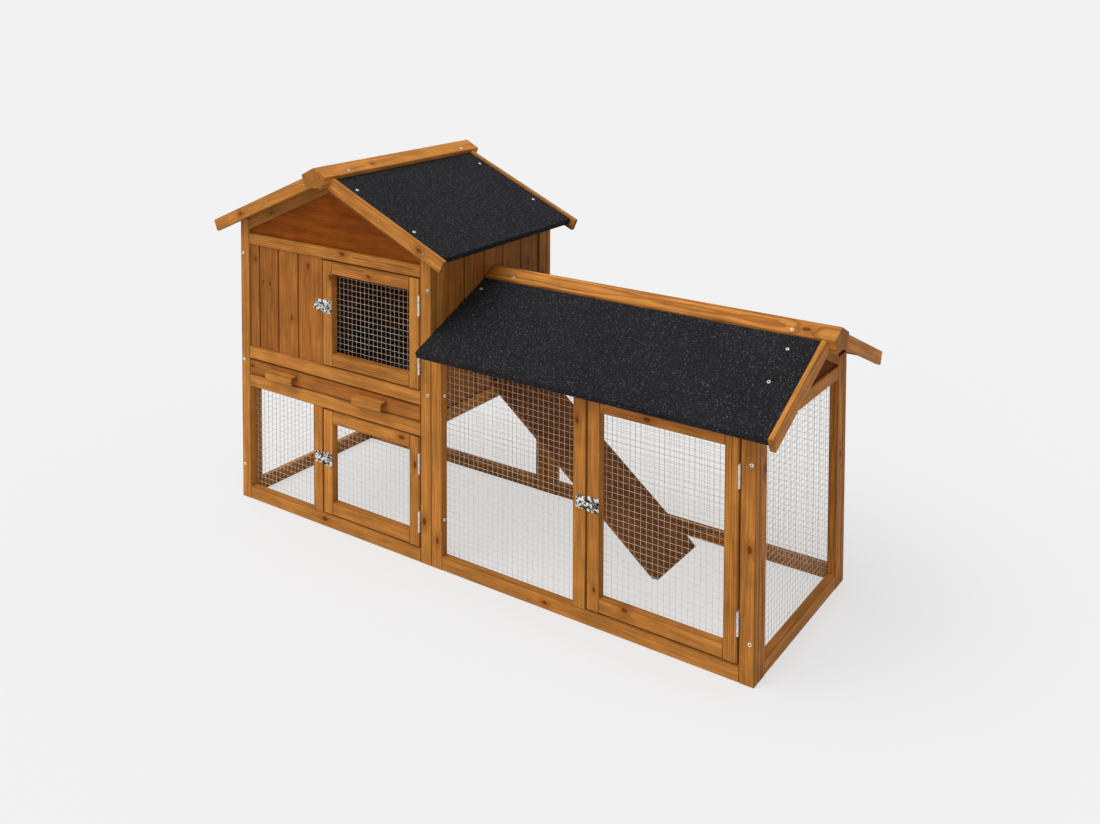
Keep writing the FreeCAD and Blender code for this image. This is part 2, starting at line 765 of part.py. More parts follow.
def leaf(name, x, knuckles, low):
    """One leaf of a butt hinge: plate, necks and knuckles, with the pin fixed in it or bored for it."""
    pin_x, pin_y = x[1], front_y - S.knuckle_radius - S.knuckle_gap
    plate_y = front_y + S.knuckle_gap
    pieces = [box(name + "_plate", (x[0], plate_y, low), (S.hinge_leaf, S.hinge_leaf_deep, S.hinge_long))]
    for index, (start, length) in enumerate(knuckles):
        part_name = "%s_knuckle%d" % (name, index)
        pieces.append(prism(part_name, (pin_x, pin_y, low + start), S.knuckle_radius, length))
        neck = (x[0], pin_y, low + start)
        pieces.append(box(part_name + "_neck", neck, (S.hinge_leaf, plate_y - pin_y, length)))
    if len(knuckles) > 1:
        pieces.append(cylinder(name + "_pin", (pin_x, pin_y, low), S.pin_radius, S.hinge_long))
        return fuse(name, pieces)
    bore = cylinder(name + "_bore", (pin_x, pin_y, low), S.pin_radius + S.pin_clearance, S.hinge_long)
    return cut(name, fuse(name + "_solid", pieces), bore)


def hinges(door, edge_x, lows):
    """Both hinges of a door: the frame's leaves, which hold the pins, and the door's leaves."""
    pin_x = edge_x + S.door_gap / 2
    post_leaf_x = edge_x + S.door_gap - S.hinge_leaf
    outer = S.hinge_long / 3
    inner = outer - S.knuckle_gap * 2
    fixed, moving = [], []
    for index, low in enumerate(lows):
        name = "%s_hinge%d" % (door, index)
        ends = [(ground, outer), (S.hinge_long - outer, outer)]
        fixed.append(leaf(name + "_post_leaf", (post_leaf_x, pin_x), ends, low))
        moving.append(leaf(name + "_door_leaf", (edge_x, pin_x), [(outer + S.knuckle_gap, inner)], low))
    group(door + "_hinge_leaves", moving)
    return fixed


def latch(door, gap_x, up, keeper_y):
    """A turn latch: plate and rivet on the door, tongue in front of the keeper on the fixed side."""
    plate_x = gap_x + S.door_gap + S.latch_edge
    plate_low = up - S.latch_plate_high / 2
    pivot_x = plate_x + S.latch_plate_wide / 2
    plate_y = front_y - S.latch_sheet
    boss_y = plate_y - S.latch_boss_high
    turn_y = boss_y - S.latch_running
    head_y = turn_y - S.turn_thick - S.latch_running
    forward = ("x", QUARTER_TURN)
    plate_size = (S.latch_plate_wide, S.latch_sheet, S.latch_plate_high)
    plate = [
        box(door + "_plate", (plate_x, plate_y, plate_low), plate_size),
        prism(door + "_boss", (pivot_x, plate_y, up), S.latch_boss_radius, S.latch_boss_high, forward),
        cylinder(door + "_rivet", (pivot_x, boss_y, up), S.latch_rivet_radius,
                 S.turn_thick + S.latch_running * 2, forward),
        prism(door + "_rivet_head", (pivot_x, head_y, up), S.latch_head_radius, S.latch_head_high, forward),
    ]
    keep(fuse(door + "_latch_plate", plate), door + "_latch_plate")
    reach = pivot_x - gap_x + S.turn_reach
    arm_low = up - S.turn_arm_wide / 2
    arm_y = turn_y - S.turn_thick
    turn = [
        prism(door + "_turn_disc", (pivot_x, turn_y, up), S.turn_radius, S.turn_thick, forward),
        box(door + "_turn_arm", (pivot_x - reach, arm_y, arm_low), (reach, S.turn_thick, S.turn_arm_wide)),
        prism(door + "_turn_end", (pivot_x - reach, turn_y, up), S.turn_arm_wide / 2, S.turn_thick, forward),
        box(door + "_turn_grip", (pivot_x + S.turn_radius - S.turn_thick, arm_y - S.turn_grip_high, arm_low),
            (S.turn_thick, S.turn_grip_high + S.turn_thick, S.turn_grip_long)),
    ]
    bore = cylinder(door + "_turn_bore", (pivot_x, turn_y + S.latch_running, up),
                    S.latch_rivet_radius + S.pin_clearance, S.turn_thick + S.latch_running * 2, forward)
    keep(cut(door + "_latch_turn", fuse(door + "_turn_solid", turn), bore), door + "_latch_turn")
    keeper_x = gap_x - S.latch_edge - S.keeper_wide
    keeper_low = up - S.keeper_high / 2
    pad_y = turn_y + S.latch_running
    keeper = [
        box(door + "_keeper_plate", (keeper_x, keeper_y - S.latch_sheet, keeper_low),
            (S.keeper_wide, S.latch_sheet, S.keeper_high)),
        box(door + "_keeper_pad", (keeper_x + S.keeper_ridge, pad_y, arm_low),
            (S.keeper_wide - S.keeper_ridge * 2, keeper_y - S.latch_sheet - pad_y, S.turn_arm_wide)),
        box(door + "_keeper_stop", (keeper_x, arm_y, arm_low - S.latch_running - S.keeper_ridge),
            (S.keeper_wide, keeper_y - arm_y, S.keeper_ridge)),
    ]
    return fuse(door + "_keeper", keeper)


def door(name, x, end_x, low, high, hinge_inset, latch_up, keeper_y):
    """A netted door: two stiles, two rails between them, net, hinges and latch."""
    wide = S.door_stick_wide
    group(name + "_frame", [
        post(name + "_stile_left", x, front_y, wide, low, high),
        post(name + "_stile_right", end_x - wide, front_y, wide, low, high),
        rail(name + "_rail_low", x + wide, end_x - wide, front_y, low, low + wide),
        rail(name + "_rail_high", x + wide, end_x - wide, front_y, high - wide, high),
    ])
    lap = wide - S.net_lap
    net(name + "_mesh", "XZ_Plane", (x + lap, low + lap), (end_x - lap, high - lap), inner_front_y)
    lows = (low + hinge_inset, high - hinge_inset - S.hinge_long)
    fixed = hinges(name, end_x, lows)
    return fixed, latch(name, x - S.door_gap, low + latch_up, keeper_y)


def doors():
    """The three doors; their fixed leaves, pins and keepers stay with the frame."""
    gap = S.door_gap
    house_end = wall_x - S.stick_wide - gap
    run_start = wall_x + S.stick_wide * 2 + S.run_window_wide
    built = [
        door("upper_door", board_end + gap, house_end, upper_up + gap, tie_up - gap,
             S.house_hinge_inset, S.upper_latch_up, front_y + S.board_recess),
        door("lower_door", board_end + gap, house_end, S.stick_wide + gap, lower_rail_up - gap,
             S.house_hinge_inset, S.lower_latch_up, front_y),
        door("run_door", run_start + gap, right_x - S.stick_wide - gap, S.stick_wide + gap,
             run_top - S.stick_wide - gap, S.run_hinge_inset, S.run_latch_up, front_y),
    ]
    group("hinge_post_leaves", [piece for fixed, keeper in built for piece in fixed])
    group("latch_keepers", [keeper for fixed, keeper in built])


def screw(name, foot, turn):
    """A screw head on its face."""
    return prism(name, foot, S.head_radius, S.head_high, turn)


# Screws: heights up the front posts, as shares of each post's height
HOUSE_LEFT_SHARES = (0.117, 0.496, 0.877)
HOUSE_RIGHT_SHARES = (0.543, 0.875)
RUN_SHARES = (0.158, 0.825)
RUN_INNER_SHARES = (0.219, 0.768)
# Roof screws: places down the boards, as shares of the boards' length
HOUSE_ROOF_SHARES = (0.16, 0.70)
RUN_ROOF_SHARES = (0.145, 0.50)


def screws():
    """Heads that show: in the posts' faces and on the roofs and ridge beams."""
    half = S.stick_thick / 2
    forward = ("x", QUARTER_TURN)
    sites = []
    for x, top, shares in ((left_x + half, house_top, HOUSE_LEFT_SHARES),
                           (wall_x - half, house_top, HOUSE_RIGHT_SHARES),
                           (right_x - half, run_top, RUN_SHARES)):
        sites += [((x, front_y, top * share), forward) for share in shares]
    inner = wall_x + S.stick_wide
    sites += [((inner, front_y + half, run_top * share), ("y", QUARTER_TURN)) for share in RUN_INNER_SHARES]
    group("frame_screws", [screw("frame_screw%d" % index, *site) for index, site in enumerate(sites)])
    felt_top = S.roof_board_thick + S.felt_thick
    sites = []
    for share in HOUSE_ROOF_SHARES:
        out, up = house_roof.point(S.house_board_long * share, felt_top)
        for y in (front_y + S.house_screw_in, back_y - S.house_screw_in):
            sites.append(((house_x + out, y, up), ("y", S.roof_pitch)))
            sites.append(((house_x - out, y, up), ("y", -S.roof_pitch)))
    top_share, low_share = RUN_ROOF_SHARES
    left, right = wall_x + S.run_screw_in, right_x - half
    for x, share in ((left, top_share), (right, top_share), (right, low_share)):
        out, up = run_roof.point(S.run_board_long * share, felt_top)
        sites.append(((x, -out, up), ("x", S.roof_pitch)))
        sites.append(((x, out, up), ("x", -S.roof_pitch)))
    pieces = [screw("roof_screw%d" % index, *site) for index, site in enumerate(sites)]
    top_slope = S.ridge_rise / S.ridge_half_wide
    tilt = angle_of(top_slope)
    out = S.ridge_screw_out
    house_up = house_roof.ridge_corners()[3][1] - out * top_slope
    run_up = run_roof.ridge_corners()[3][1] - out * top_slope
    for index, y in enumerate((front_y + S.stick_thick * 2, back_y - half)):
        pieces.append(screw("house_ridge_screw%d" % index, (house_x + out, y, house_up), ("y", tilt)))
    for index, x in enumerate((wall_x + S.run_ridge_past, right_x - S.stick_thick)):
        pieces.append(screw("run_ridge_screw%d" % index, (x, -out, run_up), ("x", tilt)))
    group("roof_screws", pieces)


house_front()
house_walls()
house_back()
gables()
house_roof_pieces()
run_frames()
run_roof_pieces()
ramp()
drawer()
doors()
screws()
doc.recompute()

for item in doc.Objects:
    if "Invalid" in item.State or "Error" in item.State:
        raise RuntimeError("%s did not build: %s" % (item.Label, item.State))
for item in NODES:
    if item.Shape.isNull() or not item.Shape.isValid():
        raise RuntimeError("%s has no valid shape" % item.Label)
os.makedirs("parts", exist_ok=True)
for item in NODES:
    item.Shape.exportStep("parts/%s.step" % item.Label)
whole = FreeCAD.BoundBox()
for item in NODES:
    whole.add(item.Shape.BoundBox)
print("nodes", len(NODES), "solids", sum(len(item.Shape.Solids) for item in NODES))
print("box", whole)
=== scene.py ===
import math
import random

import bmesh
import bpy
from mathutils import Matrix, Vector


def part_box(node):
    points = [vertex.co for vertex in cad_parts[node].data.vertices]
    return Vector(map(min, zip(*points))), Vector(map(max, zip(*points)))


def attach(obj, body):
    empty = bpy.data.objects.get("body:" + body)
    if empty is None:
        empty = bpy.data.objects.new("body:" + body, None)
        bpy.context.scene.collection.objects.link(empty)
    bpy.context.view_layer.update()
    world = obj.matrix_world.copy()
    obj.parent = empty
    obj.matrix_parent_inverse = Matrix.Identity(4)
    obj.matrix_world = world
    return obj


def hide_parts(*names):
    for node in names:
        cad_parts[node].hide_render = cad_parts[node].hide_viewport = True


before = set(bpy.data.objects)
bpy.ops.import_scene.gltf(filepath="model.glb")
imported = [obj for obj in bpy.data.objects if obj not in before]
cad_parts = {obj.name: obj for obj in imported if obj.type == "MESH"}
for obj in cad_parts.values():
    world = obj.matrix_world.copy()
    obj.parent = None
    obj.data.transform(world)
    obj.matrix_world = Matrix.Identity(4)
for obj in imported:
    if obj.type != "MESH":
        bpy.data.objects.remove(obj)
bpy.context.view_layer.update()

# Camera
# Stands to the right of the hutch and looks along its front, a little down.
# The lens axis is nearly level and the frame is shifted down, so uprights stay upright.
IMAGE_WIDE = 1100
FOCAL_PIXELS = 1152.2
AXIS_DOWN_PIXELS = 380.2
SENSOR = 36.0
FARTHEST = 100
CAMERA_AT = Vector((1.48276, -2.0730, 1.2644))
CAMERA_AZIMUTH = 34.3
CAMERA_DOWN = 2.8
CAMERA_ROLL = 0.2
camera_data = bpy.data.cameras.new("camera")
camera_data.sensor_width = SENSOR
camera_data.lens = SENSOR * FOCAL_PIXELS / IMAGE_WIDE
camera_data.shift_y = -AXIS_DOWN_PIXELS / IMAGE_WIDE
camera_data.clip_end = FARTHEST
camera = bpy.data.objects.new("camera", camera_data)
bpy.context.scene.collection.objects.link(camera)
turned = (Matrix.Rotation(math.radians(CAMERA_AZIMUTH), 4, "Z")
          @ Matrix.Rotation(math.radians(90 - CAMERA_DOWN), 4, "X")
          @ Matrix.Rotation(math.radians(CAMERA_ROLL), 4, "Z"))
camera.matrix_world = Matrix.Translation(CAMERA_AT) @ turned
bpy.context.scene.camera = camera

# Stained sticks and boards
# Planed fir, stained golden brown, its long edges broken and its ends sawn square.
# Each stick is cut from its own place in its own log, so its rings, fibres and knots are its own.
MM = 0.001


def linear(code):
    """An sRGB hex colour as linear red, green, blue and alpha."""
    parts = [int(code[start:start + 2], 16) / 255 for start in (1, 3, 5)]
    return [part / 12.92 if part <= 0.04045 else ((part + 0.055) / 1.055) ** 2.4
            for part in parts] + [1.0]


def new_material(name):
    """An empty node material and its tree."""
    made = bpy.data.materials.new(name)
    made.use_nodes = True
    made.node_tree.nodes.clear()
    return made, made.node_tree


# A colour mix's sockets: its share, the colour below, the colour laid over it, and the result
SHARE, BELOW, OVER, MIXED = 0, 6, 7, 2


def add(tree, kind, inputs, **settings):
    """Add a node; each input is a value, a hex colour, another node or one of its sockets."""
    node = tree.nodes.new(kind)
    for key, value in settings.items():
        setattr(node, key, value)
    for key, value in inputs.items():
        if isinstance(value, bpy.types.Node):
            value = value.outputs[MIXED if value.bl_idname == "ShaderNodeMix" else 0]
        if isinstance(value, bpy.types.NodeSocket):
            tree.links.new(value, node.inputs[key])
        else:
            node.inputs[key].default_value = linear(value) if isinstance(value, str) else value
    return node


# Widths across the grain, in millimetres: a year's ring, the fibres, the streaks of stain and the
# blotches. Real fibres are too fine to show from where the hutch is seen, so they are drawn three
# times as coarse.
RING = 4.6
FIBRE = 2.4
STREAK = 14.0
BLOTCH = 48.0
# Along the grain each is drawn out this many times
FIBRE_DRAWN = 28
STREAK_DRAWN = 12
# How dark and how light each makes the wood, over the range that noise mostly keeps to
NOISE_RANGE = (0.3, 0.7)
FIBRE_SHADES = (0.8, 1.18)
STREAK_SHADES = (0.76, 1.18)
BLOTCH_SHADES = (0.86, 1.12)
# The shares of a ring between which it darkens, how far the rings wander, and over what width and
# length of the log
RING_DARKENS = (0.35, 0.9)
RING_WANDERS = 11.0
WANDER_WIDE = 45.45
WANDER_LONG = 200.0
# Sawn ends soak up more stain and turn this much darker
END_SOAKS = 0.34
# A knot is drawn out along the stick, and the rings swell round it
KNOT_FLATTENED = 0.55
KNOT_SWELL = 5.0
KNOT_SWELLS = (2.0, 24.0)
# A knot's reddish halo, dark bark ring and paler heart, and a dark ring round a nail's pale head:
# how far from the middle each is whole and where it ends, in millimetres, and how strong it is
KNOT_HALO = (4.0, 17.0, 0.55)
KNOT_BARK = (2.8, 5.6, 0.8)
KNOT_HEART = (0.8, 3.0, 0.45)
NAIL_DARK_RING = (1.8, 3.0, 0.7)
NAIL_HEAD = (1.2, 1.8, 0.9)
NAIL_COLOUR = "#DAD2C4"
LEAST_NAIL_PITCH = 10.0
# A satin surface, the fibres standing a little proud and the late wood a little more
WOOD_ROUGHNESS = (0.47, 0.65)
RING_RELIEF = 0.4
GRAIN_STRENGTH = 0.22
GRAIN_HEIGHT = 0.35


def stained_wood(name, early, late, warm, knot_dark, shine=0.08):
    """Fir under a thin stain: soft rings, fine fibres, uneven streaks, brown knots."""
    made, tree = new_material(name)
    log, knot, stick, cut, nail = (
        add(tree, "ShaderNodeAttribute", {}, attribute_name=key).outputs["Vector"]
        for key in ("log", "knot", "stick", "cut", "nail"))
    place = add(tree, "ShaderNodeSeparateXYZ", {0: log})
    off = add(tree, "ShaderNodeSeparateXYZ", {0: knot})
    tone = add(tree, "ShaderNodeSeparateXYZ", {0: stick})
    sawn = add(tree, "ShaderNodeSeparateXYZ", {0: cut})
    pin = add(tree, "ShaderNodeSeparateXYZ", {0: nail})
    # How far the nearest knot is
    flat = add(tree, "ShaderNodeMath", {0: off.outputs[0], 1: KNOT_FLATTENED}, operation="MULTIPLY")
    aside = add(tree, "ShaderNodeMath", {0: off.outputs[1]}, operation="ABSOLUTE")
    apart = add(tree, "ShaderNodeMath", {0: aside, 1: off.outputs[2]}, operation="SUBTRACT")
    spot = add(tree, "ShaderNodeCombineXYZ", {0: flat, 1: apart})
    near = add(tree, "ShaderNodeVectorMath", {0: spot}, operation="LENGTH").outputs["Value"]
    near = add(tree, "ShaderNodeMath", {0: near, 1: sawn.outputs[2]}, operation="MULTIPLY")
    swell = add(tree, "ShaderNodeMapRange",
                {"Value": near, "From Min": KNOT_SWELLS[0] * MM, "From Max": KNOT_SWELLS[1] * MM,
                 "To Min": KNOT_SWELL * MM, "To Max": 0.0}, interpolation_type="SMOOTHSTEP")
    # Rings round the log's heart, which wander a little along it
    flat = add(tree, "ShaderNodeCombineXYZ", {0: place.outputs[0], 1: place.outputs[1]})
    heart = add(tree, "ShaderNodeVectorMath", {0: flat}, operation="LENGTH").outputs["Value"]
    waves = (1 / (WANDER_WIDE * MM), 1 / (WANDER_WIDE * MM), 1 / (WANDER_LONG * MM))
    slow = add(tree, "ShaderNodeVectorMath", {0: log, 1: waves}, operation="MULTIPLY")
    wander = add(tree, "ShaderNodeTexNoise", {"Vector": slow, "Scale": 1.0, "Detail": 2.0})
    bent = add(tree, "ShaderNodeMath", {0: wander, 1: RING_WANDERS * MM, 2: heart},
               operation="MULTIPLY_ADD")
    grown = add(tree, "ShaderNodeMath", {0: bent, 1: swell}, operation="ADD")
    years = add(tree, "ShaderNodeMath", {0: grown, 1: 1 / (RING * MM)}, operation="MULTIPLY")
    ring = add(tree, "ShaderNodeMath", {0: years}, operation="FRACT")
    darkens = add(tree, "ShaderNodeMapRange",
                  {"Value": ring, "From Min": RING_DARKENS[0], "From Max": RING_DARKENS[1]},
                  interpolation_type="SMOOTHSTEP")
    ends = add(tree, "ShaderNodeMapRange", {"Value": ring, "From Min": RING_DARKENS[1],
                                            "From Max": 1.0, "To Min": 1.0, "To Max": 0.0})
    line = add(tree, "ShaderNodeMath", {0: darkens, 1: ends}, operation="MULTIPLY")
    shown = add(tree, "ShaderNodeMath", {0: line, 1: tone.outputs[1]}, operation="MULTIPLY")
    colour = add(tree, "ShaderNodeMix", {SHARE: shown, BELOW: early, OVER: late}, data_type="RGBA")
    colour = add(tree, "ShaderNodeMix", {SHARE: tone.outputs[2], BELOW: colour, OVER: warm},
                 data_type="RGBA")
    # Fibres, streaks and blotches, all as one shade over the colour
    grain = []
    for wide, drawn, detail in ((FIBRE, FIBRE_DRAWN, 2.0), (STREAK, STREAK_DRAWN, 3.0)):
        waves = (1 / (wide * MM), 1 / (wide * MM), 1 / (wide * drawn * MM))
        long = add(tree, "ShaderNodeVectorMath", {0: log, 1: waves}, operation="MULTIPLY")
        grain.append(add(tree, "ShaderNodeTexNoise",
                         {"Vector": long, "Scale": 1.0, "Detail": detail}))
    fibre, streak = grain
    where = add(tree, "ShaderNodeTexCoord", {}).outputs["Object"]
    blotch = add(tree, "ShaderNodeTexNoise",
                 {"Vector": where, "Scale": 1 / (BLOTCH * MM), "Detail": 5.0})
    shade = tone.outputs[0]
    for pattern, (dark, light) in ((fibre, FIBRE_SHADES), (streak, STREAK_SHADES),
                                   (blotch, BLOTCH_SHADES)):
        band = add(tree, "ShaderNodeMapRange",
                   {"Value": pattern, "From Min": NOISE_RANGE[0], "From Max": NOISE_RANGE[1],
                    "To Min": dark, "To Max": light})
        shade = add(tree, "ShaderNodeMath", {0: shade, 1: band}, operation="MULTIPLY")
    # Stain soaks into sawn ends and darkens them; the narrow broken edges are darkened as painted
    # shade, for the shade in the grooves between pieces
    for soak_and_painted_shade, amount in ((sawn.outputs[0], END_SOAKS), (sawn.outputs[1], 1.0)):
        left = add(tree, "ShaderNodeMath", {0: soak_and_painted_shade, 1: -amount, 2: 1.0},
                   operation="MULTIPLY_ADD")
        shade = add(tree, "ShaderNodeMath", {0: shade, 1: left}, operation="MULTIPLY")
    colour = add(tree, "ShaderNodeVectorMath", {0: colour, "Scale": shade}, operation="SCALE")
    for (whole, gone, amount), tint in ((KNOT_HALO, late), (KNOT_BARK, knot_dark),
                                        (KNOT_HEART, late)):
        part = add(tree, "ShaderNodeMapRange",
                   {"Value": near, "From Min": whole * MM, "From Max": gone * MM,
                    "To Min": amount, "To Max": 0.0}, interpolation_type="SMOOTHSTEP")
        colour = add(tree, "ShaderNodeMix", {SHARE: part, BELOW: colour, OVER: tint},
                     data_type="RGBA")
    # Nail heads a pitch apart, on the sticks that carry a pitch
    turn = add(tree, "ShaderNodeMath", {0: pin.outputs[0], 1: 0.5, 2: -0.5}, operation="WRAP")
    along = add(tree, "ShaderNodeMath", {0: turn, 1: pin.outputs[2]}, operation="MULTIPLY")
    spot = add(tree, "ShaderNodeCombineXYZ", {0: along, 1: pin.outputs[1]})
    far = add(tree, "ShaderNodeVectorMath", {0: spot}, operation="LENGTH").outputs["Value"]
    there = add(tree, "ShaderNodeMath", {0: pin.outputs[2], 1: LEAST_NAIL_PITCH * MM},
                operation="GREATER_THAN")
    for (whole, gone, amount), tint in ((NAIL_DARK_RING, knot_dark), (NAIL_HEAD, NAIL_COLOUR)):
        dot = add(tree, "ShaderNodeMapRange",
                  {"Value": far, "From Min": whole * MM, "From Max": gone * MM,
                   "To Min": amount, "To Max": 0.0})
        dot = add(tree, "ShaderNodeMath", {0: dot, 1: there}, operation="MULTIPLY")
        colour = add(tree, "ShaderNodeMix", {SHARE: dot, BELOW: colour, OVER: tint},
                     data_type="RGBA")
    rough = add(tree, "ShaderNodeMapRange",
                {"Value": fibre, "To Min": WOOD_ROUGHNESS[0], "To Max": WOOD_ROUGHNESS[1]})
    relief = add(tree, "ShaderNodeMath", {0: line, 1: RING_RELIEF, 2: fibre},
                 operation="MULTIPLY_ADD")
    bump = add(tree, "ShaderNodeBump", {"Strength": GRAIN_STRENGTH, "Distance": GRAIN_HEIGHT * MM,
                                        "Height": relief})
    shader = add(tree, "ShaderNodeBsdfPrincipled", {"Base Color": colour, "Roughness": rough,
                                                    "Normal": bump, "Specular IOR Level": shine})
    add(tree, "ShaderNodeOutputMaterial", {"Surface": shader})
    return made


# Corners closer than this are one corner, and faces that turn less than this are one face
WELD_GAP = 0.01
FLAT_WITHIN = math.radians(1)


def whole_mesh(node):
    """A copy of a CAD node's mesh: each solid welded by itself, its flat faces made whole."""
    mesh = bmesh.new()
    mesh.from_mesh(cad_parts[node].data)
    # A solid is complete when every edge of its triangles has been met from both sides. Its corners
    # are taken in their order, so that each run makes the same mesh.
    solids, current, waiting = [], set(), set()
    for face in mesh.faces:
        spots = [tuple(round(part, 6) for part in vert.co) for vert in face.verts]
        for first, second in zip(spots, spots[1:] + spots[:1]):
            if (second, first) in waiting:
                waiting.remove((second, first))
            else:
                waiting.add((first, second))
        current.update(face.verts)
        if not waiting:
            solids.append(sorted(current, key=lambda vert: vert.index))
            current = set()
    for verts in solids:
        bmesh.ops.remove_doubles(mesh, verts=verts, dist=WELD_GAP * MM)
    bmesh.ops.dissolve_limit(mesh, angle_limit=FLAT_WITHIN, verts=mesh.verts, edges=mesh.edges)
    return mesh


def middle_of(faces):
    """The mean of the faces' corners."""
    points = [vert.co for face in faces for vert in face.verts]
    return sum(points, Vector()) / len(points)


def islands(mesh):
    """The solids of a bmesh, each as a list of faces, in order of their places."""
    left = set(mesh.faces)
    found = []
    for first in mesh.faces:
        if first not in left:
            continue
        left.remove(first)
        island = [first]
        for face in island:
            for edge in face.edges:
                for other in edge.link_faces:
                    if other in left:
                        left.remove(other)
                        island.append(other)
        found.append(island)
    return sorted(found, key=lambda faces: tuple(round(part, 4) for part in middle_of(faces)))


def finished(mesh, name, finishes, body, replaced):
    """Turn a bmesh into a piece that rides on its body and stands for the nodes it replaces."""
    data = bpy.data.meshes.new(name)
    mesh.to_mesh(data)
    mesh.free()
    piece = bpy.data.objects.new(name, data)
    bpy.context.scene.collection.objects.link(piece)
    for finish in finishes:
        data.materials.append(finish)
    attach(piece, body)
    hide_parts(*replaced)
    return piece


def forwards(direction):
    """The direction or its opposite, whichever has its largest part positive."""
    return direction if max(direction, key=abs) > 0 else -direction


# Knots are placed from the house's left face, the frames' front and the ground, in millimetres.
# A fourth length makes a pair of knots, each that far from the place across the stick.
HOUSE_LEFT = -676.76
FRONT = -225.0
KNOT_ROOM = 4.0


def inside(spot, verts):
    """Whether a point lies in a stick's box, with a little room."""
    room = KNOT_ROOM * MM
    return all(min(vert.co[axis] for vert in verts) - room < spot[axis]
               < max(vert.co[axis] for vert in verts) + room for axis in range(3))


# Faces narrower than this are broken edges, darkened as painted shade for the grooves between
# pieces, and faces that look along the stick by more than this are its sawn ends
NARROW_FACE = 3.2
END_FACE = 0.8
# Bold sticks are cut near the log's heart and show wide arches; the others show fine lines.
# How far from the heart and how far aside a stick is cut, how it leans there, and where along a
# long log it starts, in metres and slopes.
BOLD_SHARE = 0.22
BOLD_DEEP = (0.007, 0.014)
PLAIN_DEEP = (0.03, 0.09)
BOLD_ASIDE = 0.006
PLAIN_ASIDE = 0.05
LEAN_DEEP = 0.012
LEAN_ASIDE = 0.01
LOG_START = (1, 40)
# How much stronger its rings are drawn, its shade, and how far its warmth varies
BOLD_FIGURE = 2.2
PLAIN_FIGURE = (0.5, 1.1)
STICK_TONES = (0.9, 1.08)
WARMTH_SPREAD = 0.15
# A chance knot lies within these shares of the stick's half length and half width, and distances
# from a knot are drawn this many times as long, so a high number makes it small
KNOT_ALONG = 0.8
KNOT_ASIDE = 0.4
KNOT_SMALLNESS = (0.85, 1.7)
# A stick with no knot is told that the nearest one is metres away
NO_KNOT = (9.0, 9.0, 0.0)


def grained(mesh, seed, shade=1.0, warmth=0.0, figure=0.32, painted_groove_shade=0.3, knot_chance=0.35,
            knots=(), tones=()):
    """Give every stick its log, its shade, and perhaps a knot right through it."""
    log = mesh.verts.layers.float_vector.new("log")
    knot = mesh.verts.layers.float_vector.new("knot")
    stick = mesh.faces.layers.float_vector.new("stick")
    cut = mesh.faces.layers.float_vector.new("cut")
    dice = random.Random(seed)
    for order, faces in enumerate(islands(mesh)):
        edges = [edge for face in faces for edge in face.edges]
        verts = {vert for face in faces for vert in face.verts}
        longest = max(edges, key=lambda edge: round(edge.calc_length(), 5))
        along = forwards((longest.verts[1].co - longest.verts[0].co).normalized())
        broad = forwards(max(faces, key=lambda face: round(face.calc_area(), 7)).normal.copy())
        across = along.cross(broad)
        middle = middle_of(faces)
        half_long = max(abs((vert.co - middle).dot(along)) for vert in verts)
        half_wide = max(abs((vert.co - middle).dot(across)) for vert in verts)
        bold = dice.random() < BOLD_SHARE
        deep = dice.uniform(*(BOLD_DEEP if bold else PLAIN_DEEP))
        reach = BOLD_ASIDE if bold else PLAIN_ASIDE
        aside = dice.uniform(-reach, reach)
        lean = (dice.uniform(-LEAN_DEEP, LEAN_DEEP), dice.uniform(-LEAN_ASIDE, LEAN_ASIDE))
        start = dice.uniform(*LOG_START)
        tone = tones[order % len(tones)] if tones else dice.uniform(*STICK_TONES)
        bolder = BOLD_FIGURE if bold else dice.uniform(*PLAIN_FIGURE)
        warmer = warmth + dice.uniform(-WARMTH_SPREAD, WARMTH_SPREAD)
        look = Vector((shade * tone, figure * bolder, max(0.0, warmer)))
        spots = [(Vector((x + HOUSE_LEFT, y + FRONT, z)) * MM, gap * MM)
                 for x, y, z, gap in knots]
        spots = [(spot, gap) for spot, gap in spots if inside(spot, verts)]
        chance = dice.random()
        over = dice.uniform(-KNOT_ALONG, KNOT_ALONG)
        out = dice.uniform(-KNOT_ASIDE, KNOT_ASIDE)
        knot_small = dice.uniform(*KNOT_SMALLNESS)
        if not spots and chance < knot_chance:
            spots = [(middle + along * half_long * over + across * half_wide * out, 0.0)]
        for vert in verts:
            spot = vert.co - middle
            run = spot.dot(along)
            vert[log] = (spot.dot(broad) + deep + lean[0] * run,
                         spot.dot(across) + aside + lean[1] * run, run + start)
            vert[knot] = NO_KNOT
            for where, gap in spots:
                vert[knot] = ((vert.co - where).dot(along), (vert.co - where).dot(across), gap)
        for face in faces:
            is_end = abs(face.normal.dot(along)) > END_FACE
            narrow = min(edge.calc_length() for edge in face.edges) < NARROW_FACE * MM
            face[stick] = look
            # The second part darkens a broken edge as painted shade, for the groove it makes with
            # its neighbour
            face[cut] = (1.0 if is_end else 0.0, painted_groove_shade if narrow and not is_end else 0.0,
                         knot_small)


def nailed(mesh, axis, ridge, slope, first, pitch):
    """Lay out nails down each sloping stick, the first a length below the ridge, then evenly."""
    nail = mesh.verts.layers.float_vector.new("nail")
    for faces in islands(mesh):
        middle = middle_of(faces)
        side = 1 if middle[axis] > ridge * MM else -1
        down = Vector((0, 0, -math.sin(slope)))
        down[axis] = side * math.cos(slope)
        up = Vector((0, 0, math.cos(slope)))
        up[axis] = side * math.sin(slope)
        for vert in {vert for face in faces for vert in face.verts}:
            spot = vert.co - middle
            run = abs(middle[axis] - ridge * MM) / math.cos(slope) + spot.dot(down)
            vert[nail] = ((run - first * MM) / (pitch * MM), spot.dot(up), pitch * MM)


# Edges are broken by this much, where two faces meet at between these angles in radians
SOFTENED = 0.6
SOFTENED_ANGLES = (0.5, 1.7)


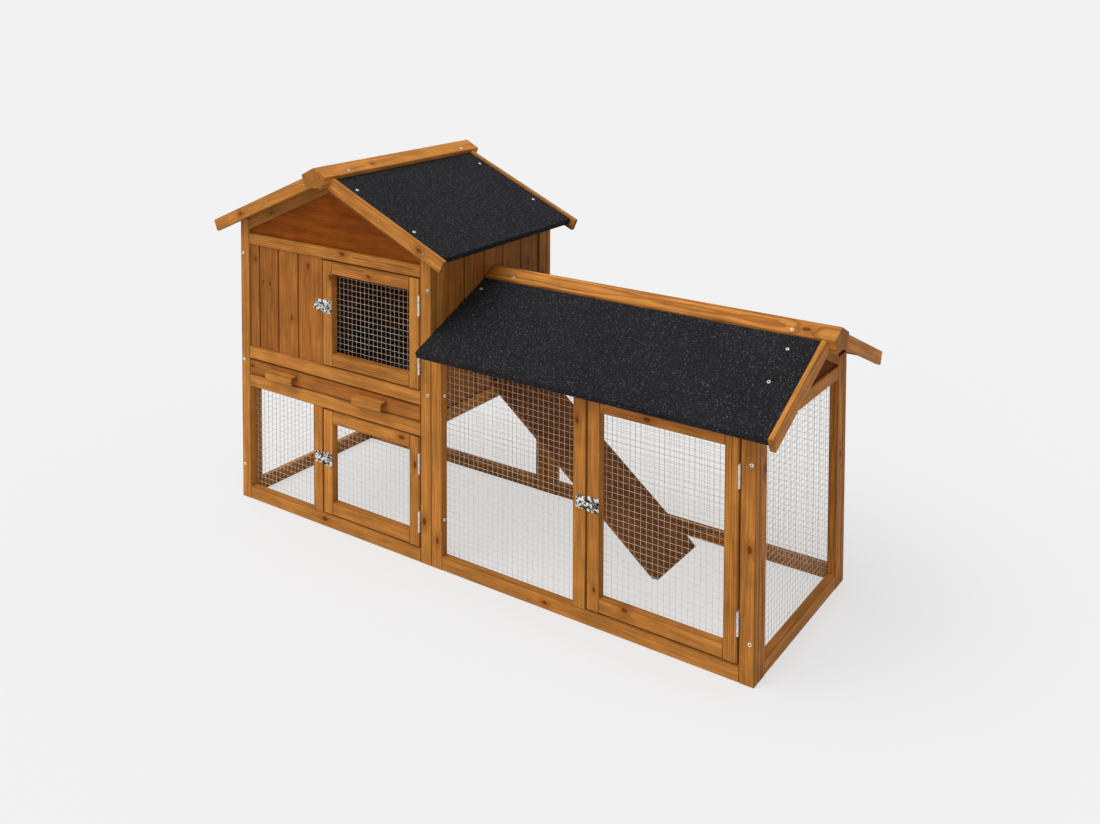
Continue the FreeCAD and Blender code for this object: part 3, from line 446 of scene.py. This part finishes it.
def timber(node, body, finish, slot="stained_wood", nails=None, **choices):
    """A wooden node with its edges softened and its grain laid on."""
    mesh = whole_mesh(node)
    least, most = SOFTENED_ANGLES
    sharp = [edge for edge in mesh.edges
             if len(edge.link_faces) == 2 and least < edge.calc_face_angle() < most]
    bmesh.ops.bevel(mesh, geom=sharp, offset=SOFTENED * MM, offset_type="OFFSET", segments=1,
                    profile=0.5, affect="EDGES", material=-1, clamp_overlap=True)
    mesh.normal_update()
    grained(mesh, node, **choices)
    if nails:
        nailed(mesh, **nails)
    return finished(mesh, node.replace("_", "-") + "-wood", [finish], body, [node])


# Stained fir: the clear stain leaves the early wood golden and the late wood orange-brown
FIR = stained_wood("stained_fir", early="#BC7C37", late="#8A4A18", warm="#9C5520",
                   knot_dark="#3E2008")
for node, choices in (
        ("house_front_posts", {"knots": ((577, 5, 93, 0),)}),
        ("house_front_rails", {"knots": ((336.6, 5, 640, 0),)}),
        ("gable_rafters", {"knots": ((108, 5, 705, 0),)}),
        ("front_boards", {"warmth": 0.5, "tones": (0.76, 0.8, 0.86, 0.95), "painted_groove_shade": 0.6,
                          "knots": ((85, 9, 534, 12.8), (225, 9, 595, 0))}),
        ("house_left_frame", {}),
        ("left_wall_boards", {"painted_groove_shade": 0.55, "warmth": 0.25}),
        ("house_right_frame", {}),
        # The right wall stands in the run's shade; its boards are made darker, 0.88, as painted
        # shade
        ("right_wall_boards", {"painted_groove_shade": 0.55, "warmth": 0.25, "shade": 0.88}),
        ("house_back_frame", {}),
        ("back_wall_boards", {"painted_groove_shade": 0.55, "warmth": 0.25}),
        ("run_front_posts", {"knots": ((965.4, 5, 402, 0), (1331, 5, 249, 0))}),
        ("run_front_rails", {"knots": ((890, 5, 14, 0),)}),
        ("run_end_frame", {}),
        ("run_back_frame", {})):
    timber(node, "hutch", FIR, **choices)

# Door frames
# Two upright stiles with two rails between them, of the same stained fir as the frames.
# The joints are glued and stapled from behind, so only the thin butt lines show at the front.
for door, knots in (
        ("upper_door", ((299, 5, 580, 0),)),
        ("lower_door", ((513, 5, 262, 0),)),
        ("run_door", ((1121, 5, 437, 0), (1075, 5, 57, 0), (1006, 5, 76, 0)))):
    timber(door + "_frame", door, FIR, knots=knots)

# Roof woodwork
# Boards on the rafters carry the felt; a ridge beam is screwed down along the top of each roof.
# Rakes, thin fir boards, are nailed to the roof boards' ends with three small nails each.
ROOF_SLOPE = math.radians(23.55)
FIRST_NAIL = 55
HOUSE_NAILS = {"axis": 0, "ridge": -378.76, "slope": ROOF_SLOPE, "first": FIRST_NAIL, "pitch": 137}
RUN_NAILS = {"axis": 1, "ridge": 0.0, "slope": ROOF_SLOPE, "first": FIRST_NAIL, "pitch": 97}
for node, choices in (
        ("house_roof_board_left", {}),
        ("house_roof_board_right", {}),
        ("house_ridge_beam", {"knots": ((318, 118.8, 828, 0),), "shade": 1.22}),
        ("house_rakes", {"knots": ((588, -24, 688, 0),), "nails": HOUSE_NAILS}),
        ("run_roof_board_front", {}),
        ("run_roof_board_back", {}),
        ("run_ridge_beam", {"knots": ((1350, 205, 586, 0),)}),
        ("run_rakes", {"nails": RUN_NAILS})):
    timber(node, "hutch", FIR, **choices)

# Gable panels
# Thin plywood let in between the rafters and the rail, and pinned from behind.
# It is stained darker and redder than the sticks, takes the stain evenly, and is left bare.
DARK_PLY = stained_wood("dark_stained_plywood", early="#80400F", late="#723608", warm="#7A3A12",
                        knot_dark="#4A2008", shine=0.03)
for node in ("front_gable_panel", "back_gable_panel", "run_end_gable_panel"):
    timber(node, "hutch", DARK_PLY, "gable_panel", figure=0.15, knot_chance=0.0)

# Ramp
# One plain fir plank, stained darker and duller than the frames.
# It leans from the doorway's sill to the ground, its foot sawn to stand flat.
DARK_FIR = stained_wood("dark_stained_fir", early="#9A6430", late="#6A3E14", warm="#7C4E26",
                        knot_dark="#3C220C")
timber("ramp_board", "hutch", DARK_FIR, knot_chance=1.0, figure=0.7)

# Drawer
# A fir front board with two carved pulls screwed on from behind.
# Its tray is folded from galvanised sheet and slides on two fir runners under the room.
timber("drawer_front", "drawer", FIR, warmth=0.4, shade=0.93, knots=((37.7, 5, 327, 0),))
timber("drawer_pulls", "drawer", FIR, knot_chance=0.0)
timber("drawer_runners", "hutch", FIR)
# How much the spangle's cells count beside its cloud, how much wider the cloud is, and how far
# it makes the zinc rougher and smoother
CELL_WEIGHT = 0.4
CLOUD_WIDER = 2.2
CLOUD_ROUGHENS = 0.1


def zinc_coated(name, light, dark, grain, metallic, roughness, edge=(0.45, 0.85)):
    """Zinc over steel: grey spangle of a width in millimetres, its edges soft or crisp."""
    made, tree = new_material(name)
    where = add(tree, "ShaderNodeTexCoord", {}).outputs["Object"]
    cells = add(tree, "ShaderNodeTexVoronoi", {"Vector": where, "Scale": 1 / (grain * MM)})
    cloud = add(tree, "ShaderNodeTexNoise",
                {"Vector": where, "Scale": 1 / (grain * CLOUD_WIDER * MM), "Detail": 3.0})
    both = add(tree, "ShaderNodeMath", {0: cells.outputs["Distance"], 1: CELL_WEIGHT, 2: cloud},
               operation="MULTIPLY_ADD")
    share = add(tree, "ShaderNodeMapRange",
                {"Value": both, "From Min": edge[0], "From Max": edge[1]},
                interpolation_type="SMOOTHSTEP")
    colour = add(tree, "ShaderNodeMix", {SHARE: share, BELOW: dark, OVER: light}, data_type="RGBA")
    rough = add(tree, "ShaderNodeMapRange",
                {"Value": cloud, "To Min": roughness - CLOUD_ROUGHENS,
                 "To Max": roughness + CLOUD_ROUGHENS})
    shader = add(tree, "ShaderNodeBsdfPrincipled",
                 {"Base Color": colour, "Roughness": rough, "Metallic": metallic})
    add(tree, "ShaderNodeOutputMaterial", {"Surface": shader})
    return made


# Hot-dipped sheet: large soft spangle, dull
SHEET_ZINC = zinc_coated("galvanised_sheet", light="#A6A8AA", dark="#7C7F82", grain=9.0,
                         metallic=0.6, roughness=0.55)
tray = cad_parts["drawer_tray"]
tray.data.materials.clear()
tray.data.materials.append(SHEET_ZINC)

# Welded nets
# Galvanised wire, 0.64 mm thick, welded in 12.7 mm squares.
# Each net is cut to its frame and stapled to the back of it, a little unevenly.
WIRE_PITCH = 12.7
WIRE_RADIUS = 0.32
WIRE_SIDES = 6
WIRE_UNEVEN = 0.4
# The welds press the wires together, so the two layers are less than two radii apart
LAYERS_APART = 1.7
# Zinc gone dull in the air, so the wire is pale and hardly shines
WIRE_ZINC = zinc_coated("galvanised_wire", light="#E0D2BE", dark="#BCAC96", grain=5.0,
                        metallic=0.1, roughness=0.5)


def wire(mesh, start, finish):
    """One straight round wire between two points."""
    line = finish - start
    turn = line.to_track_quat("Z", "Y").to_matrix().to_4x4()
    at = Matrix.Translation((start + finish) / 2) @ turn
    bmesh.ops.create_cone(mesh, cap_ends=True, segments=WIRE_SIDES, radius1=WIRE_RADIUS * MM,
                          radius2=WIRE_RADIUS * MM, depth=line.length, matrix=at)


def welded_net(node, body):
    """Level wires over the node's box, and then the uprights, welded to their one side."""
    low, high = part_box(node)
    thin = min(range(3), key=lambda axis: high[axis] - low[axis])
    flat = [axis for axis in (0, 1, 2) if axis != thin]
    dice = random.Random(node)
    mesh = bmesh.new()
    for order, (run, step) in enumerate((flat, flat[::-1])):
        count = int((high[step] - low[step]) / (WIRE_PITCH * MM))
        spare = high[step] - low[step] - count * WIRE_PITCH * MM
        deep = low[thin] + (WIRE_RADIUS + order * WIRE_RADIUS * LAYERS_APART) * MM
        for index in range(count + 1):
            level = low[step] + spare / 2 + index * WIRE_PITCH * MM
            ends = []
            for limit in (low[run], high[run]):
                point = Vector()
                point[run] = limit
                point[step] = level + dice.uniform(-WIRE_UNEVEN, WIRE_UNEVEN) * MM
                point[thin] = deep
                ends.append(point)
            wire(mesh, *ends)
    return finished(mesh, node.replace("_", "-") + "-wires", [WIRE_ZINC], body, [node])


for node in ("left_mesh", "back_mesh", "lower_front_mesh", "run_front_mesh", "run_end_mesh",
             "run_back_mesh"):
    welded_net(node, "hutch")
for door in ("upper_door", "lower_door", "run_door"):
    welded_net(door + "_mesh", door)

# Roofing felt
# Black bitumen felt with a fine mineral surface of slate chips, so it is matt with dull flecks.
# It is laid on the roof boards, screwed through, and turned down over the eaves.
FELT, tree = new_material("mineral_roofing_felt")
# The real grit is about a millimetre wide; it and the chips are drawn two to four times as coarse,
# so that they show from where the hutch is seen
GRIT = 2.2
GRIT_STRENGTH = 0.6
GRIT_HEIGHT = 0.5
# Chips of two sizes: how wide their cells are, and the share of them too dull to show. Of the
# others most are dull too, since a chip's brightness grows with a power of its chance value. Each
# is a dot in its cell, its radius a share of the cell's width.
CHIPS = ((4.0, 0.35), (2.3, 0.4))
CHIP_GREY = "#64646A"
CHIP_POWER = 2.5
CHIP_ROUND = 0.3
# Broad patches, paler where the felt is worn
PATCH = 111.1
PATCH_SHADES = (0.8, 1.2)
where = add(tree, "ShaderNodeTexCoord", {}).outputs["Object"]
grit = add(tree, "ShaderNodeTexNoise",
           {"Vector": where, "Scale": 1 / (GRIT * MM), "Detail": 3.0, "Roughness": 0.7})
patch = add(tree, "ShaderNodeTexNoise",
            {"Vector": where, "Scale": 1 / (PATCH * MM), "Detail": 4.0})
worn = add(tree, "ShaderNodeMapRange",
           {"Value": patch, "From Min": NOISE_RANGE[0], "From Max": NOISE_RANGE[1],
            "To Min": PATCH_SHADES[0], "To Max": PATCH_SHADES[1]})
share = add(tree, "ShaderNodeMapRange", {"Value": grit, "From Min": 0.4, "From Max": 0.62})
base = add(tree, "ShaderNodeMix", {SHARE: share, BELOW: "#09090B", OVER: "#222226"},
           data_type="RGBA")
base = add(tree, "ShaderNodeVectorMath", {0: base, "Scale": worn}, operation="SCALE")
for wide, least in CHIPS:
    cells = add(tree, "ShaderNodeTexVoronoi", {"Vector": where, "Scale": 1 / (wide * MM)})
    pick = add(tree, "ShaderNodeSeparateColor", {0: cells.outputs["Color"]})
    bright = add(tree, "ShaderNodeMapRange",
                 {"Value": pick.outputs[0], "From Min": least, "From Max": 1.0})
    bright = add(tree, "ShaderNodeMath", {0: bright, 1: CHIP_POWER}, operation="POWER")
    dot = add(tree, "ShaderNodeMath", {0: cells.outputs["Distance"], 1: CHIP_ROUND},
              operation="LESS_THAN")
    fleck = add(tree, "ShaderNodeMath", {0: bright, 1: dot}, operation="MULTIPLY")
    base = add(tree, "ShaderNodeMix", {SHARE: fleck, BELOW: base, OVER: CHIP_GREY},
               data_type="RGBA")
bump = add(tree, "ShaderNodeBump", {"Strength": GRIT_STRENGTH, "Distance": GRIT_HEIGHT * MM,
                                    "Height": grit})
shader = add(tree, "ShaderNodeBsdfPrincipled", {"Base Color": base, "Roughness": 0.9,
                                                "Normal": bump, "Specular IOR Level": 0.15})
add(tree, "ShaderNodeOutputMaterial", {"Surface": shader})
# The sheet is cut into squares of about this width, and its upper side swells by up to this
# height in waves that cross each other
FELT_CELL = 14.0
FELT_LIFT = 0.7
FELT_WAVES = ((23, 9), (-5, 31))
# Corners that look up by more than this are on the upper side, and corners this near to a cut are
# taken to lie on it
UPPER_SIDE = 0.6
CUT_WITHIN = 0.001


def felt_sheet(node):
    """The CAD sheet cut into small squares and lifted unevenly, as felt lies."""
    mesh = whole_mesh(node)
    low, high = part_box(node)
    for axis in (0, 1):
        count = int((high[axis] - low[axis]) / (FELT_CELL * MM))
        normal = Vector((axis == 0, axis == 1, 0))
        for index in range(1, count):
            point = low + normal * (high[axis] - low[axis]) * index / count
            everything = mesh.verts[:] + mesh.edges[:] + mesh.faces[:]
            bmesh.ops.bisect_plane(mesh, geom=everything, plane_co=point, plane_no=normal,
                                   dist=CUT_WITHIN * MM)
    mesh.normal_update()
    for vert in [vert for vert in mesh.verts if vert.normal.z > UPPER_SIDE]:
        swell = math.prod(math.sin(vert.co.x * over + vert.co.y * back)
                          for over, back in FELT_WAVES)
        vert.co.z += FELT_LIFT * MM * (0.5 + 0.5 * swell)
    return finished(mesh, node.replace("_", "-") + "-sheet", [FELT], "hutch", [node])


for node in ("house_felt_left", "house_felt_right", "run_felt_front", "run_felt_back"):
    felt_sheet(node)

# Hinges and latches
# The hinges are pressed steel, bright zinc plated, a little dulled, on pins at the doors' edges.
# The latches are stamped plates with a turning tongue; their bright zinc is mottled with crisp
# near-black patches, painted shade for the shadows round the tongue and the screws.
HINGE_ZINC = zinc_coated("zinc_plated_steel", light="#E4E2DE", dark="#B4B0AC", grain=3.0,
                         metallic=0.6, roughness=0.35)
# The latch plating's near-black patches are painted shade
LATCH_ZINC_PAINTED_SHADE = zinc_coated("zinc_plate_painted_shade", light="#E8E6E2", dark="#161412", grain=3.0,
                         metallic=0.5, roughness=0.3, edge=(0.64, 0.76))
fittings = {"hinge_post_leaves": HINGE_ZINC, "latch_keepers": LATCH_ZINC_PAINTED_SHADE}
for door in ("upper_door", "lower_door", "run_door"):
    fittings[door + "_hinge_leaves"] = HINGE_ZINC
    fittings[door + "_latch_plate"] = LATCH_ZINC_PAINTED_SHADE
    fittings[door + "_latch_turn"] = LATCH_ZINC_PAINTED_SHADE
for node, finish in fittings.items():
    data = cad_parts[node].data
    data.materials.clear()
    data.materials.append(finish)

# Screws
# Zinc-plated steel screws with a low head and a cross recess, driven into the sticks and felt.
# The heads catch the light and the recess is coloured near black as painted shade, so each reads as
# a small ring.
BRIGHT_ZINC = zinc_coated("bright_zinc_screw", light="#F0F0EC", dark="#B0AEAA", grain=3.0,
                          metallic=0.6, roughness=0.3)
# A mottle of about a millimetre's grain in the recess's near-black painted shade
RECESS_MOTTLE = 1.111
RECESS_PAINTED_SHADE, tree = new_material("recess_painted_shade")
where = add(tree, "ShaderNodeTexCoord", {}).outputs["Object"]
recess_mottle = add(tree, "ShaderNodeTexNoise", {"Vector": where, "Scale": 1 / (RECESS_MOTTLE * MM)})
colour = add(tree, "ShaderNodeMix", {SHARE: recess_mottle, BELOW: "#16110E", OVER: "#3A3430"},
             data_type="RGBA")
shader = add(tree, "ShaderNodeBsdfPrincipled",
             {"Base Color": colour, "Roughness": 0.7, "Metallic": 0.5})
add(tree, "ShaderNodeOutputMaterial", {"Surface": shader})
SCREW_SIDES = 16
# As shares of the head's radius: its top, its rim, and the recess's points and waist
HEAD_TOP = 0.82
HEAD_RIM = 0.3
RECESS_POINT = 0.58
RECESS_WAIST = 0.36
# As a share of the head's height
RECESS_DEEP = 0.7
# Every fourth of the head's corners is one of the recess's points
CORNERS_A_POINT = 4


def screw_head(mesh, foot, outward, radius, high):
    """A low domed head with a four-pointed recess pressed into it."""
    turn = outward.to_track_quat("Z", "Y").to_matrix().to_4x4()
    at = Matrix.Translation(foot + outward * high / 2) @ turn
    made = bmesh.ops.create_cone(mesh, cap_ends=True, segments=SCREW_SIDES, radius1=radius,
                                 radius2=radius * HEAD_TOP, depth=high, matrix=at)
    faces = {face for vert in made["verts"] for face in vert.link_faces}
    top = max(faces, key=lambda face: face.calc_center_median().dot(outward))
    bmesh.ops.inset_region(mesh, faces=[top], thickness=radius * HEAD_RIM, use_even_offset=True)
    centre = top.calc_center_median()
    for index, vert in enumerate(top.verts):
        reach = RECESS_POINT if index % CORNERS_A_POINT == 0 else RECESS_WAIST
        vert.co = centre + (vert.co - centre).normalized() * radius * reach
    floor = bmesh.ops.extrude_discrete_faces(mesh, faces=[top])["faces"][0]
    bmesh.ops.translate(mesh, verts=floor.verts, vec=-outward * high * RECESS_DEEP)
    # The recess's floor and walls take the second finish, its near-black painted shade
    for face in [floor] + [face for edge in floor.edges for face in edge.link_faces]:
        face.material_index = 1


def screws(node):
    """A head in place of each of the node's solids."""
    plain = whole_mesh(node)
    mesh = bmesh.new()
    for faces in islands(plain):
        caps = sorted(faces, key=lambda face: -face.calc_area())[:2]
        cap = max(caps, key=lambda face: face.normal.z + face.normal.x - face.normal.y)
        other = caps[0] if cap is caps[1] else caps[1]
        foot, top = other.calc_center_median(), cap.calc_center_median()
        radius = (cap.verts[0].co - top).length
        screw_head(mesh, foot, cap.normal.copy(), radius, (top - foot).length)
    plain.free()
    return finished(mesh, node.replace("_", "-") + "-heads", [BRIGHT_ZINC, RECESS_PAINTED_SHADE], "hutch",
                    [node])


screws("frame_screws")
screws("roof_screws")

# Floor, lights and sky
# A plain pale floor that fills the view and keeps the hutch's soft shadow.
# The light is even, strongest from above and a little from the left front.
PALE = "#F2F2F2"
# Half its width in metres, and how far under the hutch's feet it lies in millimetres
FLOOR_HALF = 12.0
FLOOR_UNDER = 0.5
# The floor's own glow lightens the shadow, and is set so that the floor far off meets the sky
# with no line between them
GLOW_SHARE = 0.65
GLOW = 1.018


def seen_directly(tree):
    """One for what the camera sees, and what shows in metal and through glass, else nought."""
    rays = add(tree, "ShaderNodeLightPath", {}).outputs
    seen = add(tree, "ShaderNodeMath", {0: rays["Is Camera Ray"], 1: rays["Is Glossy Ray"]},
               operation="MAXIMUM")
    return add(tree, "ShaderNodeMath", {0: seen, 1: rays["Is Transmission Ray"]},
               operation="MAXIMUM")


FLOOR, tree = new_material("pale_floor")
matt = add(tree, "ShaderNodeBsdfDiffuse", {"Color": "#E6E6E7"})
glow = add(tree, "ShaderNodeEmission", {"Color": PALE, "Strength": GLOW})
share = add(tree, "ShaderNodeMath", {0: seen_directly(tree), 1: GLOW_SHARE}, operation="MULTIPLY")
both = add(tree, "ShaderNodeMixShader", {0: share, 1: matt, 2: glow})
add(tree, "ShaderNodeOutputMaterial", {"Surface": both})
mesh = bmesh.new()
bmesh.ops.create_grid(mesh, x_segments=1, y_segments=1, size=FLOOR_HALF,
                      matrix=Matrix.Translation((0, 0, -FLOOR_UNDER * MM)))
data = bpy.data.meshes.new("floor")
mesh.to_mesh(data)
mesh.free()
floor = bpy.data.objects.new("floor", data)
bpy.context.scene.collection.objects.link(floor)
data.materials.append(FLOOR)

world = bpy.data.worlds.new("sky")
bpy.context.scene.world = world
world.use_nodes = True
tree = world.node_tree
tree.nodes.clear()
sky = add(tree, "ShaderNodeBackground", {"Color": "#F4F5F7", "Strength": 0.42})
backdrop = add(tree, "ShaderNodeBackground", {"Color": PALE, "Strength": 1.0})
both = add(tree, "ShaderNodeMixShader", {0: seen_directly(tree), 1: sky, 2: backdrop})
add(tree, "ShaderNodeOutputWorld", {"Surface": both})


def sun(name, strength, angle, azimuth, elevation):
    """A broad distant lamp; azimuth is where it stands, from +X towards +Y."""
    lamp = bpy.data.lights.new(name, "SUN")
    lamp.energy = strength
    lamp.angle = math.radians(angle)
    item = bpy.data.objects.new(name, lamp)
    bpy.context.scene.collection.objects.link(item)
    turn, rise = math.radians(azimuth), math.radians(elevation)
    away = Vector((math.cos(turn) * math.cos(rise), math.sin(turn) * math.cos(rise),
                   math.sin(rise)))
    item.rotation_euler = away.to_track_quat("Z", "Y").to_euler()


sun("overhead", strength=2.2, angle=70, azimuth=-115, elevation=66)
sun("front", strength=0.45, angle=60, azimuth=-105, elevation=25)

bpy.context.scene.view_settings.view_transform = "Standard"
